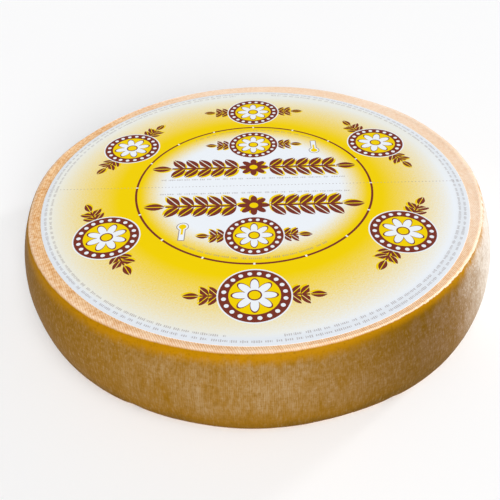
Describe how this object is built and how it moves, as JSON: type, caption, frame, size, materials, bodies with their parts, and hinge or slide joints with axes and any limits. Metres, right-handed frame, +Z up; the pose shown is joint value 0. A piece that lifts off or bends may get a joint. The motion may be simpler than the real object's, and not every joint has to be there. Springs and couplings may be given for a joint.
{
  "type": "raclette cheese wheel",
  "caption": "Whole uncut raclette cheese wheel: a low round wheel with a bulging golden rind and rounded shoulder, a round paper label on its flat top; food to cut and melt.",
  "frame": {"origin": "on the ground, in the middle of the wheel's underside", "axes": "+Z up through the wheel's flat faces, +X to the right and +Y away from the viewer of the picture"},
  "size_m": [0.3526, 0.3494, 0.0603],
  "materials": {
    "rind": "washed golden rind with a cloth imprint and a dusty pale bloom, satin",
    "label_paper": "coated paper printed in yellow and brown on white, soft sheen"
  },
  "bodies": {
    "root": {"cheese_wheel": "rind", "paper_label": "label_paper"}
  },
  "joints": []
}
